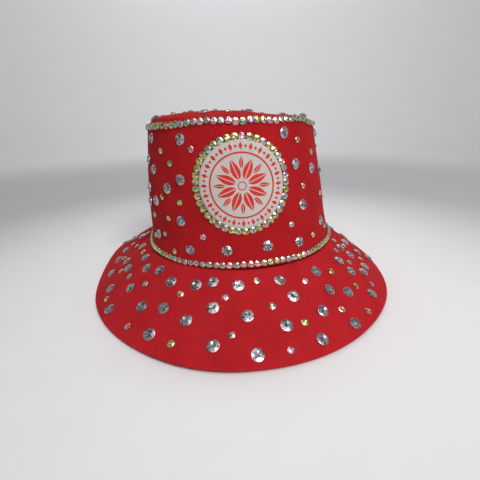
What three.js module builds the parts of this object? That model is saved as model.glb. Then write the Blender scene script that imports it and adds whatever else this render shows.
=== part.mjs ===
// A cloth bucket hat decorated with rhinestones, in millimetres, +Z up.
// The origin is on the floor under the middle of the hat, which stands on the edge of its brim.
// The front of the hat faces -Y and its left side, as worn, is at +X.
import * as THREE from "three";
import { LoftGeometry } from "three/addons/geometries/LoftGeometry.js";

// ---- Driving dimensions ----

// The hat is a stack of ovals. Half widths are along X at three heights, half depths along Y.
const BRIM_EDGE = { height: 0, halfWidth: 149, halfDepth: 160 };
const SEAM = { height: 42, halfWidth: 93.3, halfDepth: 95.3 };
const CROWN_EDGE = { height: 153, halfWidth: 75, halfDepth: 80 };
const DOME_RISE = 7; // how far the middle of the tip stands above its edge
const CROWN_LEAN = -6; // how far the top of the crown stands to one side, along X

const BRIM_LIP = 2.8; // height of the turned edge of the brim
const BRIM_LIP_WIDTH = 2.2; // width of the flat edge that the hat stands on

const CLOTH = 0.8; // outer cloth
const INNER_CLOTH = 0.6; // interlining and lining
const BAND = 1.0; // sweatband
const GAP = 0.3; // clearance between neighbouring pieces
const SEAM_GAP = 0.12; // degrees, from a side seam to the end of each panel

const SWEATBAND_HEIGHT = 32;
const LABEL = { width: 28, height: 13, thickness: 0.5, raise: 9, steps: 6 };

const EMBLEM = { angle: 4.4, up: 64.5, turn: 0.03, radius: 33.2, thickness: 0.7 };
const EMBLEM_TRIM_RADIUS = 36;

const STONE = { width: 4.8, topWidth: 2.9, height: 2.2, waist: 0.6 }; // one cup and stone of the trim
const EMBLEM_STONES = 41;
const CROWN_TOP_STONES = 92;
const CROWN_BASE_STONES = 106;

const CRYSTAL = { radius: 4.25, tableRadius: 2.5, height: 2.6, sides: 8 };

const FULL_TURN_STEPS = 60;
const DISC_STEPS = 36; // round the emblem disc
const DISC_RINGS = 5;
const TIP_RINGS = [0, 0.4, 0.7, 0.88, 1]; // shares of the tip's radius, closer together near its edge

// Large crystals on the crown: [degrees round from the front, millimetres up the side from the seam].
const CROWN_CRYSTALS = [
  [-64, 80], [-63, 56], [-63, 43], [-57, 98], [-54, 73], [-52, 47], [-51, 17], [-40, 60],
  [-31, 35], [-30, 68], [-29, 98], [-26, 12], [-6, 14], [15, 16], [32, 101], [34, 14],
  [38, 77], [40, 44], [53, 71], [58, 23], [69, 67], [71, 98], [95, 34], [98, 80],
  [107, 16], [112, 55], [125, 92], [130, 30], [142, 66], [152, 14], [161, 44], [168, 90],
  [179, 24], [-171, 62], [-158, 96], [-153, 30], [-141, 70], [-128, 18], [-117, 50], [-102, 84],
];

// ---- Shape of the hat ----

const radians = THREE.MathUtils.degToRad;

function between(height, low, high, key) {
  const share = (height - low.height) / (high.height - low.height);
  return THREE.MathUtils.lerp(low[key], high[key], THREE.MathUtils.clamp(share, 0, 1));
}

// The oval at a height, as a half width and a ratio of depth to width.
function ovalAt(height) {
  const [low, high] = height < SEAM.height ? [BRIM_EDGE, SEAM] : [SEAM, CROWN_EDGE];
  const halfWidth = between(height, low, high, "halfWidth");
  const halfDepth = between(height, low, high, "halfDepth");
  return { halfWidth, ratio: halfDepth / halfWidth };
}

function leanAt(height) {
  const share = (height - SEAM.height) / (CROWN_EDGE.height - SEAM.height);
  return CROWN_LEAN * THREE.MathUtils.clamp(share, 0, 1);
}

// A point given by its degrees round from the front, its half width and its height.
function hatPoint(angle, halfWidth, height) {
  const turn = radians(angle);
  return new THREE.Vector3(
    halfWidth * Math.sin(turn) + leanAt(height),
    -halfWidth * ovalAt(height).ratio * Math.cos(turn),
    height,
  );
}

const CROWN_SLOPE = Math.hypot(
  CROWN_EDGE.height - SEAM.height,
  SEAM.halfWidth - CROWN_EDGE.halfWidth,
);

// A point at a distance up the crown's side, and the given distance out from the cloth.
function crownPoint(angle, up, out = 0) {
  const height = SEAM.height + (up * (CROWN_EDGE.height - SEAM.height)) / CROWN_SLOPE;
  return hatPoint(angle, ovalAt(height).halfWidth + out, height);
}

function domeHeight(halfWidth) {
  return CROWN_EDGE.height + DOME_RISE * (1 - (halfWidth / CROWN_EDGE.halfWidth) ** 2);
}

// The upper surface of the brim is straight from the seam to the top of its lip.
const BRIM_RUN = BRIM_EDGE.halfWidth - SEAM.halfWidth;
const BRIM_DROP = SEAM.height - GAP - BRIM_LIP;
const BRIM_STEEPNESS = Math.hypot(BRIM_RUN, BRIM_DROP) / BRIM_RUN;

function brimHeight(halfWidth, below = 0) {
  const fall = (BRIM_DROP * (halfWidth - SEAM.halfWidth)) / BRIM_RUN;
  return SEAM.height - GAP - fall - below * BRIM_STEEPNESS;
}

// ---- Geometry helpers ----

// Sweeps a closed profile of [half width, height] points round the hat, between two angles.
// The profile runs outer bottom, inner bottom, inner top, outer top.
function sweep(profile, from = -90, to = 270) {
  const steps = Math.round((FULL_TURN_STEPS * (to - from)) / 360);
  const sections = [];
  for (let step = 0; step <= steps; step += 1) {
    const angle = THREE.MathUtils.lerp(from, to, step / steps);
    sections.push(profile.map(([halfWidth, height]) => hatPoint(angle, halfWidth, height)));
  }
  const open = to - from < 360;
  return new LoftGeometry(sections, { capStart: open, capEnd: open });
}

const FRONT = [-90 + SEAM_GAP, 90 - SEAM_GAP];
const BACK = [90 + SEAM_GAP, 270 - SEAM_GAP];

// A layer of the crown's side, from depth to depth + thickness in from the outer surface.
function sideProfile(depth, thickness, bottom, top) {
  const inset = (height, distance) => [ovalAt(height).halfWidth - distance, height];
  return [
    inset(bottom, depth),
    inset(bottom, depth + thickness),
    inset(top, depth + thickness),
    inset(top, depth),
  ];
}

// A layer of the domed tip, as a profile that starts and ends on the axis.
function tipProfile(depth, thickness, edge) {
  const rings = TIP_RINGS.map((share) => share * edge);
  const lower = rings.map((radius) => [radius, domeHeight(radius) - depth - thickness]);
  const upper = rings.map((radius) => [radius, domeHeight(radius) - depth]);
  return [...upper, ...lower.reverse()];
}

// A layer of the brim that ends at a half width inside the lip.
function brimProfile(depth, thickness, edge) {
  const inner = SEAM.halfWidth;
  return [
    [edge, brimHeight(edge, depth + thickness)],
    [inner, brimHeight(inner, depth + thickness)],
    [inner, brimHeight(inner, depth)],
    [edge, brimHeight(edge, depth)],
  ];
}

// The brim's upper cloth, with the lip that turns down to the floor.
function brimTopProfile() {
  const outer = BRIM_EDGE.halfWidth;
  const inner = SEAM.halfWidth;
  const lipInner = outer - BRIM_LIP_WIDTH;
  return [
    [outer, BRIM_EDGE.height],
    [lipInner, BRIM_EDGE.height],
    [lipInner, brimHeight(lipInner, CLOTH)],
    [inner, brimHeight(inner, CLOTH)],
    [inner, brimHeight(inner)],
    [outer, brimHeight(outer)],
  ];
}

// A round disc of cloth is a lathe about Z: its outer face is up before it is bent on to the crown.
function discGeometry(radius, thickness) {
  const rings = Array.from({ length: DISC_RINGS + 1 }, (_, ring) => (radius * ring) / DISC_RINGS);
  const lower = rings.map((ring) => new THREE.Vector2(ring, 0));
  const upper = rings.map((ring) => new THREE.Vector2(ring, thickness)).reverse();
  return new THREE.LatheGeometry([...lower, ...upper], DISC_STEPS).rotateX(Math.PI / 2);
}

// Bends a flat piece (x across, y up, z out) on to the crown, centred on the emblem's place.
function bendOnCrown(geometry, clearance) {
  const place = geometry.getAttribute("position");
  for (let index = 0; index < place.count; index += 1) {
    const up = EMBLEM.up + place.getY(index);
    const halfWidth = ovalAt(SEAM.height + up).halfWidth;
    const across = THREE.MathUtils.radToDeg(place.getX(index) / halfWidth);
    const angle = EMBLEM.angle + EMBLEM.turn * place.getY(index) + across;
    const bent = crownPoint(angle, up, clearance + place.getZ(index));
    place.setXYZ(index, bent.x, bent.y, bent.z);
  }
  return geometry;
}

// Rhinestone trim is one chain of cups: full at each stone, narrow between two stones.
// pointAt(share of the way round, along the trim's width, out from the cloth) gives a point.
function trimGeometry(stones, pointAt) {
  const sections = [];
  for (let step = 0; step <= 2 * stones; step += 1) {
    const size = step % 2 === 0 ? 1 : STONE.waist;
    const half = (STONE.width / 2) * size;
    const topHalf = (STONE.topWidth / 2) * size;
    const top = STONE.height * size;
    const corners = [
      [topHalf, top],
      [-topHalf, top],
      [-half, 0],
      [half, 0],
    ];
    sections.push(corners.map(([along, out]) => pointAt(step / (2 * stones), along, out)));
  }
  return new LoftGeometry(sections);
}

function crownTrimGeometry(stones, up) {
  return trimGeometry(stones, (share, along, out) =>
    crownPoint(-90 + 360 * share, up + along, GAP + out),
  );
}

function emblemTrimGeometry() {
  const flat = trimGeometry(EMBLEM_STONES, (share, along, out) => {
    const turn = 2 * Math.PI * share;
    const radius = EMBLEM_TRIM_RADIUS - along;
    return new THREE.Vector3(radius * Math.cos(turn), radius * Math.sin(turn), out);
  });
  return bendOnCrown(flat, GAP);
}

// ---- Materials ----

const redCloth = new THREE.MeshStandardMaterial({ color: 0xb3242b, roughness: 0.85, metalness: 0 });
const redInside = new THREE.MeshStandardMaterial({ color: 0x8f1a20, roughness: 0.9, metalness: 0 });
const whiteInside = new THREE.MeshStandardMaterial({ color: 0xe6e1d8, roughness: 0.9, metalness: 0 });
const blackBand = new THREE.MeshStandardMaterial({ color: 0x2a2425, roughness: 0.8, metalness: 0 });
const patchCloth = new THREE.MeshStandardMaterial({ color: 0xd9d5ce, roughness: 0.7, metalness: 0 });
const rainbowStone = new THREE.MeshStandardMaterial({ color: 0xc9d9a8, roughness: 0.1, metalness: 0.6 });
const clearStone = new THREE.MeshStandardMaterial({ color: 0xc4c8cc, roughness: 0.05, metalness: 0.7 });

// ---- Assembly ----

const group = new THREE.Group();

function add(name, geometry, material) {
  const mesh = new THREE.Mesh(geometry, material);
  mesh.name = name;
  group.add(mesh);
  return mesh;
}

// Crown: three layers, each with a side and a tip. The tip's edge lies on top of the side.
const layers = [
  { suffix: "", depth: 0, thickness: CLOTH, material: redCloth },
  { suffix: "_interlining", depth: CLOTH + GAP, thickness: INNER_CLOTH, material: whiteInside },
  {
    suffix: "_lining",
    depth: CLOTH + INNER_CLOTH + 2 * GAP,
    thickness: INNER_CLOTH,
    material: redInside,
  },
];
for (const { suffix, depth, thickness, material } of layers) {
  const sideTop = CROWN_EDGE.height - depth - thickness - GAP;
  const side = sideProfile(depth, thickness, SEAM.height, sideTop);
  const tip = tipProfile(depth, thickness, CROWN_EDGE.halfWidth - depth);
  add(`crown_tip${suffix}`, sweep(tip), material);
  if (suffix === "") {
    add("crown_side_front", sweep(side, ...FRONT), material);
    add("crown_side_back", sweep(side, ...BACK), material);
  } else {
    add(`crown_side${suffix}`, sweep(side), material);
  }
}

// Brim: upper cloth with the turned lip, stiff interlining, and the underside.
const interliningDepth = CLOTH + GAP;
const undersideDepth = interliningDepth + INNER_CLOTH + GAP;
const interliningEdge = BRIM_EDGE.halfWidth - BRIM_LIP_WIDTH - GAP;
const undersideEdge = interliningEdge - GAP;
add("brim_top_front", sweep(brimTopProfile(), ...FRONT), redCloth);
add("brim_top_back", sweep(brimTopProfile(), ...BACK), redCloth);
add(
  "brim_interlining",
  sweep(brimProfile(interliningDepth, INNER_CLOTH, interliningEdge)),
  whiteInside,
);
const underside = brimProfile(undersideDepth, CLOTH, undersideEdge);
add("brim_underside_front", sweep(underside, ...FRONT), redCloth);
add("brim_underside_back", sweep(underside, ...BACK), redCloth);

// Sweatband, inside the lining at the head opening, and the blank size label sewn to it at the back.
const bandDepth = CLOTH + 2 * INNER_CLOTH + 3 * GAP;
const bandTop = SEAM.height + SWEATBAND_HEIGHT;
add("sweatband", sweep(sideProfile(bandDepth, BAND, SEAM.height, bandTop)), blackBand);

const labelBottom = SEAM.height + LABEL.raise;
const labelDepth = bandDepth + BAND + GAP;
const labelSection = sideProfile(
  labelDepth,
  LABEL.thickness,
  labelBottom,
  labelBottom + LABEL.height,
);
const labelSpan = THREE.MathUtils.radToDeg(LABEL.width / ovalAt(labelBottom).halfWidth);
const labelSections = [];
for (let step = 0; step <= LABEL.steps; step += 1) {
  const angle = 180 + labelSpan * (step / LABEL.steps - 0.5);
  labelSections.push(labelSection.map(([halfWidth, height]) => hatPoint(angle, halfWidth, height)));
}
add("size_label", new LoftGeometry(labelSections, { capStart: true, capEnd: true }), patchCloth);

// Emblem patch and the three rows of rhinestone trim.
add("emblem_disc", bendOnCrown(discGeometry(EMBLEM.radius, EMBLEM.thickness), GAP), patchCloth);
add("emblem_trim", emblemTrimGeometry(), rainbowStone);
const baseTrimUp = STONE.width / 2 + GAP;
const topTrimUp = CROWN_SLOPE - STONE.width / 2 - GAP;
add("crown_base_trim", crownTrimGeometry(CROWN_BASE_STONES, baseTrimUp), rainbowStone);
add("crown_top_trim", crownTrimGeometry(CROWN_TOP_STONES, topTrimUp), rainbowStone);

// Large flat-back crystals on the crown, each square to the cloth under it.
const crystalGeometry = new THREE.LatheGeometry(
  [
    new THREE.Vector2(0, 0),
    new THREE.Vector2(CRYSTAL.radius, 0),
    new THREE.Vector2(CRYSTAL.tableRadius, CRYSTAL.height),
    new THREE.Vector2(0, CRYSTAL.height),
  ],
  CRYSTAL.sides,
);
const latheAxis = new THREE.Vector3(0, 1, 0);
CROWN_CRYSTALS.forEach(([angle, up], index) => {
  const foot = crownPoint(angle, up);
  const round = crownPoint(angle + 1, up).sub(crownPoint(angle - 1, up));
  const rise = crownPoint(angle, up + 1).sub(crownPoint(angle, up - 1));
  const normal = round.cross(rise).normalize();
  const number = String(index + 1).padStart(2, "0");
  const crystal = add(`crown_crystal_${number}`, crystalGeometry, clearStone);
  crystal.position.copy(foot).addScaledVector(normal, GAP);
  crystal.quaternion.setFromUnitVectors(latheAxis, normal);
});

export default group;
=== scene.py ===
"""A red cloth bucket hat with rhinestones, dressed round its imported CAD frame.

All lengths are in metres. An angle is in degrees round from the front of the hat (-Y), growing towards +X.
A place on the hat is an angle and a climb, which grows upwards along the cloth: on the brim it runs from the
edge up to the seam, on the side from the seam up to the edge of the tip, and on the tip from there inwards.
"""
import bpy
import math
import random
from mathutils import Matrix, Vector, noise


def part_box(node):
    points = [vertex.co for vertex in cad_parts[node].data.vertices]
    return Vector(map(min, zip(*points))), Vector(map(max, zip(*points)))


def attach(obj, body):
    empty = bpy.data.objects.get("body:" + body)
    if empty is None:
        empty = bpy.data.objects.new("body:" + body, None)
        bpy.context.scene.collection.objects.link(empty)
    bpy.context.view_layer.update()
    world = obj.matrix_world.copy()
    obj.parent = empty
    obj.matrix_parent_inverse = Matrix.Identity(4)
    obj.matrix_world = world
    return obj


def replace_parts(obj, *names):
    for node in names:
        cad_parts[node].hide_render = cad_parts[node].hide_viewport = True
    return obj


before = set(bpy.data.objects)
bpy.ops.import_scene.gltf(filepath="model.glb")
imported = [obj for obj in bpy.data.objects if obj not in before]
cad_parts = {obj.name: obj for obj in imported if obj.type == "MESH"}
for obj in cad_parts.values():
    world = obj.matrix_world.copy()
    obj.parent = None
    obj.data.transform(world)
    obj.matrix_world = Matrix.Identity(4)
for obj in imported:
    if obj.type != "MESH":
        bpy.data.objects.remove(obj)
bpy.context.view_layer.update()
MM = 0.001

# ---- Sizes, from the frame ----

side_low, side_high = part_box("crown_side_front")
tip_low, tip_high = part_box("crown_tip")
brim_low, brim_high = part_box("brim_top_front")

CLOTH = 0.8 * MM
INNER_CLOTH = 0.6 * MM
CLOTH_GAP = 0.3 * MM
BRIM_THICKNESS = 2.8 * MM

EDGE_WIDTH = brim_high.x
EDGE_DEPTH = -brim_low.y
SEAM_HEIGHT = side_low.z
SEAM_WIDTH = side_high.x
SEAM_DEPTH = -side_low.y
TOP_HEIGHT = tip_low.z + CLOTH
TOP_WIDTH = (tip_high.x - tip_low.x) / 2
TOP_DEPTH = (tip_high.y - tip_low.y) / 2
LEAN = (tip_high.x + tip_low.x) / 2
DOME_RISE = tip_high.z - TOP_HEIGHT
SIDE_LENGTH = math.hypot(TOP_HEIGHT - SEAM_HEIGHT, SEAM_WIDTH - TOP_WIDTH)


# ---- Camera ----

CAMERA_PLACE = Vector((0.0003, -0.3089, 0.1511))
CAMERA_PITCH = 0.3789
CAMERA_ROLL = -0.0253
CAMERA_LENS = 22.61


def make_camera():
    camera = bpy.data.objects.new("camera", bpy.data.cameras.new("camera"))
    bpy.context.scene.collection.objects.link(camera)
    camera.data.lens = CAMERA_LENS
    camera.data.clip_start = 0.01
    turn = Matrix.Rotation(math.pi / 2 - CAMERA_PITCH, 4, "X") @ Matrix.Rotation(CAMERA_ROLL, 4, "Z")
    camera.matrix_world = Matrix.Translation(CAMERA_PLACE) @ turn
    bpy.context.scene.camera = camera


make_camera()


# ---- Surfaces of the hat ----

def mix(low, high, share):
    return low + (high - low) * share


def clamp(share):
    return min(max(share, 0), 1)


def smooth_step(value, low, high):
    share = clamp((value - low) / (high - low))
    return share * share * (3 - 2 * share)


def bump(value, centre, width):
    """A smooth hump that is 1 at its centre."""
    return math.exp(-(((value - centre) / width) ** 2))


def around(angle, centre, width):
    """A smooth hump in angle, which carries on across the back of the hat."""
    return bump((angle - centre + 180) % 360 - 180, 0, width)


def waves(humps, angle):
    """The sum, in metres, of humps given as (millimetres, angle, width in degrees)."""
    return MM * sum(size * around(angle, centre, width) for size, centre, width in humps)


WANDER_RADIUS = 90 * MM
WANDER_SEED_STEP = 7.3


def wander(angle, along, size, seed):
    """Slow, fixed unevenness between about -1 and 1, the same on each run."""
    turn = math.radians(angle)
    reach = WANDER_RADIUS / size
    away = along / size + seed * WANDER_SEED_STEP
    return noise.noise(Vector((math.sin(turn) * reach, math.cos(turn) * reach, away)))


def side_seam_pinch(angle, half_width):
    """1 at the side seams, where the cloth is drawn in, falling to 0 about 1 mm away."""
    off = (angle + 90) % 180
    return bump(math.radians(min(off, 180 - off)) * half_width, 0, 0.9 * MM)


def oval(angle, half_width, half_depth, height, shift):
    turn = math.radians(angle)
    return Vector((shift + half_width * math.sin(turn), -half_depth * math.cos(turn), height))


SHOULDER_RADIUS_FRONT = 3 * MM
SHOULDER_RADIUS_SIDE = 9 * MM


def shoulder_fall(angle, distance):
    """How far the rounded top edge draws in, and drops, at a distance from the tip's seam.

    The edge is softer at its two sides than at the front and back.
    """
    radius = mix(SHOULDER_RADIUS_FRONT, SHOULDER_RADIUS_SIDE, math.sin(math.radians(angle)) ** 4)
    return 0.25 * radius * max(0.0, 1 - max(distance, 0) / radius) ** 2


# Waves round the hat as humps of (millimetres, angle, width in degrees): how far the joint of crown and brim
# is drawn in from its oval, how far the brim's edge lifts, and how far the brim and its edge reach out.
SEAM_PULLS = ((3.4, -80, 20), (0.9, 62, 22))
EDGE_LIFTS = ((0.4, -36, 14), (1.0, 50, 20), (6.5, -106, 15), (-1.6, 104, 18), (1.6, 170, 30))
BRIM_SPREADS = ((1.6, -102, 12), (-1.6, -76, 12), (-2.2, 84, 16))
EDGE_SPREADS = ((1.1, 8, 55), (1.8, -10, 16))

# The pinched crease at the left side seam and the swell behind it, as (millimetres up, angle, width in
# degrees, climb in millimetres, width in millimetres).
BRIM_FOLDS = ((-9.0, -90, 2.0, -10, 9), (3.2, -105, 9, -27, 20))


def side_surface(angle, climb):
    """The crown's side. It flares a little just above the seam and is slightly hollow above that."""
    share = climb / SIDE_LENGTH
    fall = shoulder_fall(angle, SIDE_LENGTH - climb)
    swell = 1.0 * MM * bump(climb, 0, 7 * MM) - 0.9 * MM * bump(climb, 24 * MM, 18 * MM)
    swell -= waves(SEAM_PULLS, angle) * bump(climb, 0, 24 * MM)
    swell += 0.7 * MM * wander(angle, climb, 0.045, 1)
    swell -= fall + 0.6 * MM * bump(climb, SIDE_LENGTH + 0.4 * MM, 1.2 * MM)
    swell -= 0.7 * MM * side_seam_pinch(angle, mix(SEAM_WIDTH, TOP_WIDTH, share))
    bow = -0.8 * MM * math.sin(math.pi * clamp(share)) * math.sin(math.radians(angle)) ** 2
    return oval(
        angle,
        mix(SEAM_WIDTH, TOP_WIDTH, share) + swell,
        mix(SEAM_DEPTH, TOP_DEPTH, share) + swell,
        mix(SEAM_HEIGHT, TOP_HEIGHT, share) - fall,
        LEAN * share + bow,
    )


TIP_SINK = 4 * MM
TIP_SINK_FROM = -5 * MM
TIP_SINK_TO = 45 * MM


def tip_surface(angle, climb):
    """The domed tip. It is full at its left and sinks at its right."""
    share = max(1 - climb / TOP_WIDTH, 0)
    fall = shoulder_fall(angle, climb)
    rise = 0.9 * DOME_RISE * (1 - share ** 4)
    sideways = TOP_WIDTH * share * math.sin(math.radians(angle))
    rise -= TIP_SINK * smooth_step(sideways, TIP_SINK_FROM, TIP_SINK_TO) * (1 - share ** 6)
    rise += 0.5 * MM * wander(angle, share * 0.05, 0.04, 2) * min(1, climb / (8 * MM))
    rise -= fall + 0.6 * MM * bump(climb, -0.4 * MM, 1.2 * MM)
    return oval(angle, TOP_WIDTH * share - fall, TOP_DEPTH * share - fall, TOP_HEIGHT + rise, LEAN)


# The middle of the brim's thickness runs straight from the seam to the centre of its rolled edge.
BRIM_HALF = BRIM_THICKNESS / 2
BRIM_RUN = EDGE_WIDTH - BRIM_HALF - SEAM_WIDTH
BRIM_FALL = SEAM_HEIGHT - CLOTH_GAP - 2.2 * BRIM_HALF - BRIM_HALF
BRIM_LENGTH = math.hypot(BRIM_RUN, BRIM_FALL)


def brim_middle(angle, climb):
    """The middle of the brim's thickness. climb is 0 at the seam and negative down the brim."""
    share = -climb / BRIM_LENGTH
    height = SEAM_HEIGHT - CLOTH_GAP - 1.1 * BRIM_HALF - BRIM_FALL * share
    height += waves(EDGE_LIFTS, angle) * max(share, 0) ** 1.5
    height += 1.2 * MM * wander(angle, climb, 0.05, 3) * clamp(share)
    for rise, centre, width, up, reach in BRIM_FOLDS:
        height += rise * MM * around(angle, centre, width) * bump(climb, up * MM, reach * MM)
    spread = -waves(SEAM_PULLS, angle) * max(1 - share, 0) ** 2
    spread += share * waves(BRIM_SPREADS, angle) + share ** 3 * waves(EDGE_SPREADS, angle)
    return oval(
        angle,
        mix(SEAM_WIDTH, EDGE_WIDTH - BRIM_HALF, share) + spread,
        mix(SEAM_DEPTH, EDGE_DEPTH - BRIM_HALF, share) + spread,
        height,
        0,
    )


def frame_at(surface, angle, climb):
    """Point, direction round the hat, direction up the cloth and outward normal."""
    step_angle, step = 0.1, 0.1 * MM
    across = surface(angle + step_angle, climb) - surface(angle - step_angle, climb)
    up = surface(angle, climb + step) - surface(angle, climb - step)
    across.normalize()
    up.normalize()
    normal = across.cross(up).normalized()
    return surface(angle, climb), across, normal.cross(across), normal


STITCH_PITCH = 3.3 * MM
BRIM_ROW_GAP = 8.6 * MM
BRIM_FIRST_ROW = 6.0 * MM
BRIM_ROWS = 7
BRIM_STITCH_CLIMBS = [-BRIM_LENGTH + BRIM_FIRST_ROW + row * BRIM_ROW_GAP for row in range(BRIM_ROWS)]


def quilting(climb):
    """The brim's cloth stands a little proud between its stitch rows and dips along them."""
    nearest = min(abs(climb - row) for row in BRIM_STITCH_CLIMBS)
    return -0.06 * MM * bump(nearest, 0, 0.9 * MM)


def brim_skin(angle, climb, face):
    """The brim's outer skin: face 1 is its top and -1 its underside.

    Below -BRIM_LENGTH it rolls round the edge.
    """
    over = -BRIM_LENGTH - climb
    if over <= 0:
        point, _, _, normal = frame_at(brim_middle, angle, climb)
        pinch = 0.6 * MM * side_seam_pinch(angle, SEAM_WIDTH - climb)
        return point + normal * face * (BRIM_HALF + quilting(climb) - pinch)
    point, _, up, normal = frame_at(brim_middle, angle, -BRIM_LENGTH)
    roll = over / BRIM_HALF
    return point + BRIM_HALF * (normal * face * math.cos(roll) - up * math.sin(roll))


def brim_top_surface(angle, climb):
    return brim_skin(angle, climb, 1)


def brim_under_surface(angle, climb):
    return brim_skin(angle, climb, -1)


# ---- Mesh helpers ----

def mesh_object(name, points, faces, material, smooth=True):
    mesh = bpy.data.meshes.new(name)
    mesh.from_pydata(points, [], faces)
    mesh.polygons.foreach_set("use_smooth", [smooth] * len(mesh.polygons))
    mesh.materials.append(material)
    made = bpy.data.objects.new(name, mesh)
    bpy.context.scene.collection.objects.link(made)
    return made


def piece_from(name, points, faces, material, smooth=True):
    piece = mesh_object(name, points, faces, material, smooth)
    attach(piece, "root")
    return piece


def faces_between(low, high, count, closed=True):
    """Quads between two rows of count points, which start at low and at high."""
    afters = [(column + 1) % count for column in range(count if closed else count - 1)]
    return [(low + column, low + after, high + after, high + column) for column, after in enumerate(afters)]


def set_uvs(piece, places):
    """Gives each corner the cloth place of its vertex, in millimetres, for the weave."""
    mesh = piece.data
    layer = mesh.uv_layers.new(name="cloth")
    flat = []
    for loop in mesh.loops:
        flat.extend(places[loop.vertex_index])
    layer.data.foreach_set("uv", flat)


def solidify(piece, thickness):
    """Gives a sheet its thickness, inwards from its outer face."""
    shell = piece.modifiers.new("thickness", "SOLIDIFY")
    shell.thickness = thickness
    shell.offset = -1
    shell.use_even_offset = False


def cloth_piece(node, surface, angles, climbs, radius, sheet, depth=0.0, flip=False, suffix="cloth"):
    """The cloth piece for a CAD node: a grid of angles and climbs, its outer face depth below the surface.

    A panel whose angles go all the way round closes on itself. A last climb of None makes a point in the
    middle, for a tip. radius turns an angle into a distance along the cloth for the weave. sheet is the
    thickness, slot and material; its slot is not used.
    """
    thickness, slot, material = sheet
    full = abs(angles[-1] - angles[0] - 360) < 1e-6
    columns = angles[:-1] if full else angles
    pole = climbs[-1] is None
    rows = climbs[:-1] if pole else climbs
    points, places, faces = [], [], []
    for climb in rows:
        for angle in columns:
            point, _, _, normal = frame_at(surface, angle, climb)
            points.append(point - normal * depth)
            places.append((math.radians(angle) * radius / MM, climb / MM))
    count = len(columns)
    for row in range(len(rows) - 1):
        faces += faces_between(row * count, (row + 1) * count, count, full)
    if flip:
        faces = [face[::-1] for face in faces]
    if pole:
        points.append(surface(0, TOP_WIDTH) - Vector((0, 0, depth)))
        places.append((0.0, TOP_WIDTH / MM))
        last = (len(rows) - 1) * count
        faces += [(last + column, last + (column + 1) % count, len(points) - 1) for column in range(count)]
    piece = piece_from(f"{node}_{suffix}", points, faces, material)
    set_uvs(piece, places)
    solidify(piece, thickness)
    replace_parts(piece, node)


CLOSEST = 0.02


def spread_evenly(low, high, step, extra=()):
    """Values from low to high about step apart, with extra ones where more detail is needed.

    Of two values closer than that share of a step, one is dropped.
    """
    count = max(1, math.ceil((high - low) / step))
    values = [mix(low, high, index / count) for index in range(count + 1)]
    values += [value for value in extra if low < value < high]
    values.sort()
    kept = values[:1]
    for value in values[1:]:
        if value - kept[-1] > CLOSEST * step:
            kept.append(value)
    kept[-1] = high
    return kept


# In degrees: the slit between two panels at a side seam, and where columns lie closer beside it.
SEAM_OPENING = 0.015
NEAR_SEAM = (0.25, 0.5, 0.9, 1.4)
NEAR_CREASE = (2.0, 2.6, 3.3, 4.1)
COLUMN_STEP = 1.5
RING_STEP = 3


def panel_angles(start, end, near):
    extra = [start + SEAM_OPENING + off for off in near] + [end - SEAM_OPENING - off for off in near]
    return spread_evenly(start + SEAM_OPENING, end - SEAM_OPENING, COLUMN_STEP, extra)


FRONT_ANGLES = panel_angles(-90, 90, NEAR_SEAM)
BACK_ANGLES = panel_angles(90, 270, NEAR_SEAM)
BRIM_FRONT_ANGLES = panel_angles(-90, 90, NEAR_SEAM + NEAR_CREASE)
BRIM_BACK_ANGLES = panel_angles(90, 270, NEAR_SEAM + NEAR_CREASE)
RING_ANGLES = spread_evenly(-90, 270, RING_STEP)
BRIM_RING_ANGLES = spread_evenly(-90, 270, RING_STEP, [
    end + side * off for off in (0.7, 1.4, 2.2) for end, side in ((-90, 1), (270, -1))])

# Rows closer to the crown's top edge, in millimetres from it.
EDGE_ROWS = (0.4, 0.9, 1.5, 2.2, 3.2, 4.3)


# ---- Materials ----

class Recipe:
    """A material under construction: add() makes a node, and a value that is a socket is linked."""

    def __init__(self, name):
        self.material = bpy.data.materials.new(name)
        self.material.use_nodes = True
        self.tree = self.material.node_tree
        self.shader = next(node for node in self.tree.nodes if node.type == "BSDF_PRINCIPLED")

    def fill(self, node, values):
        for key, value in values.items():
            socket = node.inputs[key]
            if isinstance(value, bpy.types.NodeSocket):
                self.tree.links.new(value, socket)
            else:
                socket.default_value = value

    def add(self, kind, values=None, output=0, **settings):
        node = self.tree.nodes.new(kind)
        for key, value in settings.items():
            setattr(node, key, value)
        self.fill(node, values or {})
        return node.outputs[output]

    def math(self, operation, first, second=0.0, third=0.0, clamp=False):
        values = {0: first, 1: second, 2: third}
        return self.add("ShaderNodeMath", values, operation=operation, use_clamp=clamp)

    def times(self, first, second, clamp=False):
        return self.math("MULTIPLY", first, second, clamp=clamp)

    def patches(self, pattern, low, high, amount, base, colour, clamp=False):
        """base with an amount of colour where the pattern goes from low to high."""
        return self.blend(self.times(self.ramp(pattern, low, high), amount, clamp), base, colour)

    def blend(self, share, first, second, mode="MIX"):
        """Mixes two colours."""
        node = self.tree.nodes.new("ShaderNodeMix")
        node.data_type = "RGBA"
        node.blend_type = mode
        self.fill(node, {0: share, 6: first, 7: second})
        return node.outputs[2]

    def noise(self, coordinates, scale, detail=2.0, roughness=0.5):
        values = {"Vector": coordinates, "Scale": scale, "Detail": detail, "Roughness": roughness}
        return self.add("ShaderNodeTexNoise", values)

    def object_place(self):
        """Where a point lies in its object's own coordinates, in metres."""
        return self.add("ShaderNodeTexCoord", output=3)

    def ramp(self, value, low, high, **settings):
        """value stretched so that low gives 0 and high gives 1."""
        values = {"Value": value, "From Min": low, "From Max": high}
        return self.add("ShaderNodeMapRange", values, **settings)

    def bump(self, height, distance, normal=None, strength=1.0):
        values = {"Height": height, "Distance": distance, "Strength": strength}
        if normal is not None:
            values["Normal"] = normal
        return self.add("ShaderNodeBump", values)


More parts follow.
